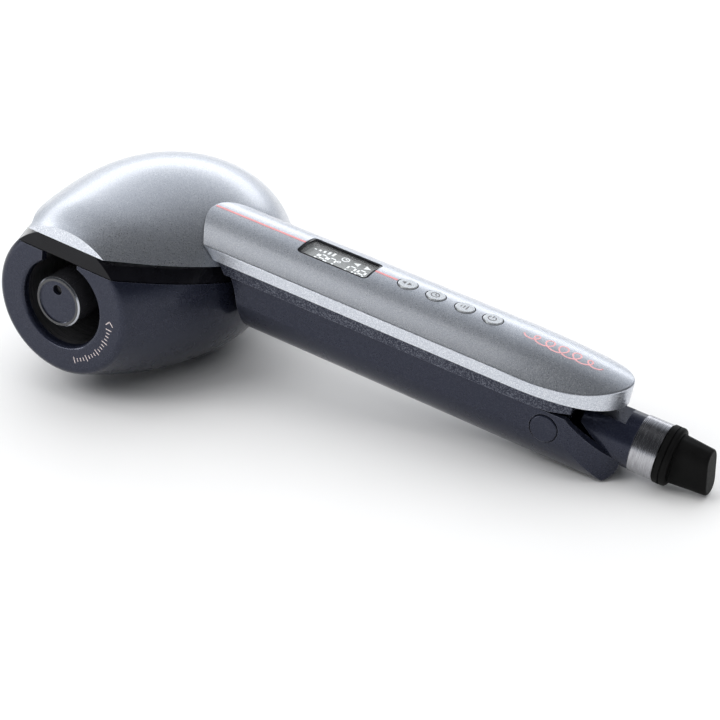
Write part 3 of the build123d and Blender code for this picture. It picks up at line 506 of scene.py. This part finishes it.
def ribbon(mesh, find, points, width, closed=False, lift=0.06):
    """Adds a raised printed line through 2-D points, on the surface that find gives. Sizes in mm."""
    count = len(points)
    rims = []
    for index, (x, y) in enumerate(points):
        before = points[index - 1] if closed or index else points[0]
        after = points[(index + 1) % count] if closed or index < count - 1 else points[-1]
        run = Vector((after[0] - before[0], after[1] - before[1])).normalized()
        normal = Vector((-run.y, run.x)) * width / 2
        row = []
        for side, height in ((1, 0), (1, lift), (-1, lift), (-1, 0)):
            place, up = find(x + side * normal.x, y + side * normal.y)
            row.append(mesh.verts.new(place + up * (height - SUNK) * MM))
        rims.append(row)
    spans = count if closed else count - 1
    for index in range(spans):
        here, there = rims[index], rims[(index + 1) % count]
        for corner in range(4):
            following = (corner + 1) % 4
            mesh.faces.new((here[corner], here[following], there[following], there[corner]))
    if not closed:
        mesh.faces.new(rims[0])
        mesh.faces.new(list(reversed(rims[-1])))


def patch(mesh, find, outline, lift=0.06):
    """Adds a raised printed area with a 2-D outline, on the surface that find gives. Sizes in mm."""
    base, top = [], []
    for x, y in outline:
        place, up = find(x, y)
        base.append(mesh.verts.new(place - up * SUNK * MM))
        top.append(mesh.verts.new(place + up * (lift - SUNK) * MM))
    mesh.faces.new(top)
    mesh.faces.new(list(reversed(base)))
    for index in range(len(outline)):
        following = (index + 1) % len(outline)
        mesh.faces.new((base[index], base[following], top[following], top[index]))


def polar(centre, radius, degrees):
    """2-D point at an angle round centre."""
    angle = math.radians(degrees)
    return centre[0] + radius * math.cos(angle), centre[1] + radius * math.sin(angle)


def arc(centre, radius, start, end, steps=24):
    """2-D points on an arc, angles in degrees."""
    return [polar(centre, radius, start + (end - start) * step / steps) for step in range(steps + 1)]


def ring(centre, radius, steps=24):
    """2-D points round centre for a closed ribbon, which joins the last to the first."""
    last_angle = 345
    return arc(centre, radius, 0, last_angle, steps)


def finished(name, mesh, material, body):
    """Turns a bmesh into a piece that rides on a body."""
    bmesh.ops.recalc_face_normals(mesh, faces=mesh.faces)
    data = bpy.data.meshes.new(name)
    mesh.to_mesh(data)
    mesh.free()
    data.materials.append(material)
    piece = bpy.data.objects.new(name, data)
    bpy.context.scene.collection.objects.link(piece)
    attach(piece, body)


def ring_mark(materials):
    """Generic turning sign on the mouth ring: a run of long and short ticks, ended by an arrowhead."""
    low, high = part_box("chamber_cup")
    outer_r = (high.x - low.x) / 2
    centre = Vector(((low.x + high.x) / 2, 0, low.z + outer_r))
    find = ring_finder(centre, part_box("lower_head_shell")[0].y)
    mesh = bmesh.new()
    middle_r, line = 22.0, 0.34
    start, end, ticks = -77, -14, 17
    long_reach, long_every = 1.25, 4
    short_reach = long_reach * 0.55
    for tick in range(ticks):
        angle = start + (end - start) * tick / (ticks - 1)
        reach = long_reach if tick % long_every == 0 else short_reach
        ends = [polar((0, 0), middle_r + side * reach, angle) for side in (-1, 1)]
        ribbon(mesh, find, ends, line)
    tip = polar((0, 0), middle_r, end + 9)
    for side in (-1, 1):
        barb = polar((0, 0), middle_r + side * 1.5, end + 4.6)
        ribbon(mesh, find, [barb, tip], line)
    finished("ring_mark", mesh, materials["mark_pale"], "lower_jaw")


def cover_mark(materials):
    """Generic curl on the handle: one line that loops like a wound lock of hair."""
    find = surface_finder("handle_cover")
    mesh = bmesh.new()
    start, length, across, line = 155.0, 30.0, -0.6, 0.62
    loops, loop_r, steps_per_loop = 6, 2.8, 40
    points = []
    steps = steps_per_loop * loops
    for step in range(steps + 1):
        turn = 2 * math.pi * loops * step / steps
        swell = math.sin(math.pi * step / steps) ** 0.5
        advance = start + length * step / steps
        x = advance - loop_r * swell * math.sin(turn)
        y = across + loop_r * swell * math.cos(turn)
        points.append((x, y))
    ribbon(mesh, find, points, line)
    finished("cover_mark", mesh, materials["mark_pink"], "upper_jaw")


def button_marks(materials):
    """A sign on each button: two-way arrows, a clock, a heat level and a power sign."""
    line = 0.36
    for name in ("direction", "timer", "heat", "power"):
        x = along_handle(name + "_button")
        find = surface_finder(name + "_button")
        mesh = bmesh.new()
        if name == "direction":
            for side in (-1, 1):
                tip, back = x + side * 1.9, x + side * 0.5
                patch(mesh, find, [(tip, 0), (back, 1.0), (back, -1.0)][::side])
        elif name == "timer":
            hands = [(x, 0.95), (x, 0), (x + 0.7, -0.35)]
            ribbon(mesh, find, ring((x, 0), 1.5), line, closed=True)
            ribbon(mesh, find, hands, line)
        elif name == "heat":
            bar_pitch = 1.15
            for rank, reach in enumerate((0.6, 1.0, 1.4)):
                across = x + (rank - 1) * bar_pitch
                ribbon(mesh, find, [(across, -reach), (across, reach)], line)
        elif name == "power":
            ribbon(mesh, find, arc((x, 0), 1.45, 125, 415), line)
            ribbon(mesh, find, [(x, 0.4), (x, 1.9)], line)
        finished(name + "_mark", mesh, materials["mark_grey"], name + "_key")


# Lit segments of the figures that the display shows, lettered as in digit().
SEGMENTS = {"0": "abcdef", "1": "bc", "8": "abcdefg", "9": "abfgcd"}


def digit(mesh, find, value, x, y, height):
    """Adds one seven-segment figure with its lower left corner at x, y."""
    width, half, line = height * 0.52, height / 2, height * 0.13
    gap_share = 0.65
    ends = {
        "a": ((0, height), (width, height)),
        "b": ((width, half), (width, height)),
        "c": ((width, 0), (width, half)),
        "d": ((0, 0), (width, 0)),
        "e": ((0, 0), (0, half)),
        "f": ((0, half), (0, height)),
        "g": ((0, half), (width, half)),
    }
    for segment in SEGMENTS[value]:
        (x0, y0), (x1, y1) = ends[segment]
        run = Vector((x1 - x0, y1 - y0)).normalized() * line * gap_share
        first = (x + x0 + run.x, y + y0 + run.y)
        last = (x + x1 - run.x, y + y1 - run.y)
        ribbon(mesh, find, [first, last], line, lift=0.05)


def display_figures(materials):
    """Generic reading on the display: a temperature and a time, with level bars and small signs."""
    corners = [vertex.co for vertex in nodes["lcd_module"].data.vertices]
    top = max((corner - handle_origin).dot(handle_up) for corner in corners) / MM
    find = flat_finder(top)
    left = along_handle("lcd_module") - 11.8
    mesh = bmesh.new()

    figure_y, figure_height = -3.9, 5.4
    temperature_pitch, time_pitch = 3.6, 4.2
    time_x = left + 15.6
    for place, value in enumerate("190"):
        digit(mesh, find, value, left + place * temperature_pitch, figure_y, figure_height)
    ribbon(mesh, find, ring((left + 11.2, 0.9), 0.6, 10), 0.35, closed=True)
    for place, value in enumerate("08"):
        digit(mesh, find, value, time_x + place * time_pitch, figure_y, figure_height)

    bars, bar_pitch, bar_width = 5, 1.8, 0.9
    bar_foot, bar_top, bar_growth = 3.0, 3.7, 0.5
    for level in range(bars):
        across = left + level * bar_pitch
        ribbon(mesh, find, [(across, bar_foot), (across, bar_top + level * bar_growth)], bar_width)

    sign_y, clock_x, arrows_x = 4.3, left + 12.2, left + 19.2
    ribbon(mesh, find, ring((clock_x, sign_y), 1.4), 0.5, closed=True)
    hands = [(clock_x, sign_y + 1.0), (clock_x, sign_y), (clock_x + 0.8, sign_y)]
    ribbon(mesh, find, hands, 0.4)
    for side in (-1, 1):
        tip = arrows_x + side * 3.6
        back = tip - side * 2.4
        patch(mesh, find, [(tip, sign_y), (back, sign_y + 1.4), (back, sign_y - 1.4)][::side])
    finished("display_figures", mesh, materials["figure_white"], "upper_jaw")


# ---- The scene ----


def floor():
    """Plain pale floor, out to well beyond the view."""
    reach = 6.0
    mesh = bmesh.new()
    corners = ((-reach, -reach), (reach, -reach), (reach, reach), (-reach, reach))
    mesh.faces.new([mesh.verts.new((x, y, cad_box[0].z)) for x, y in corners])
    data = bpy.data.meshes.new("floor")
    mesh.to_mesh(data)
    mesh.free()
    pale = Finish("floor_pale")
    pale.set("Base Color", pale.mix(pale.noise(0.4), (0.86, 0.86, 0.86), (0.90, 0.90, 0.90)))
    pale.set("Roughness", pale.span(pale.noise(0.02), 0.3, 0.7, 0.62, 0.72))
    data.materials.append(pale.material)
    plane = bpy.data.objects.new("floor", data)
    bpy.context.scene.collection.objects.link(plane)


studio()
floor()
materials = finishes()
paint_frame(materials)
materials.update(marks())
ring_mark(materials)
cover_mark(materials)
button_marks(materials)
display_figures(materials)
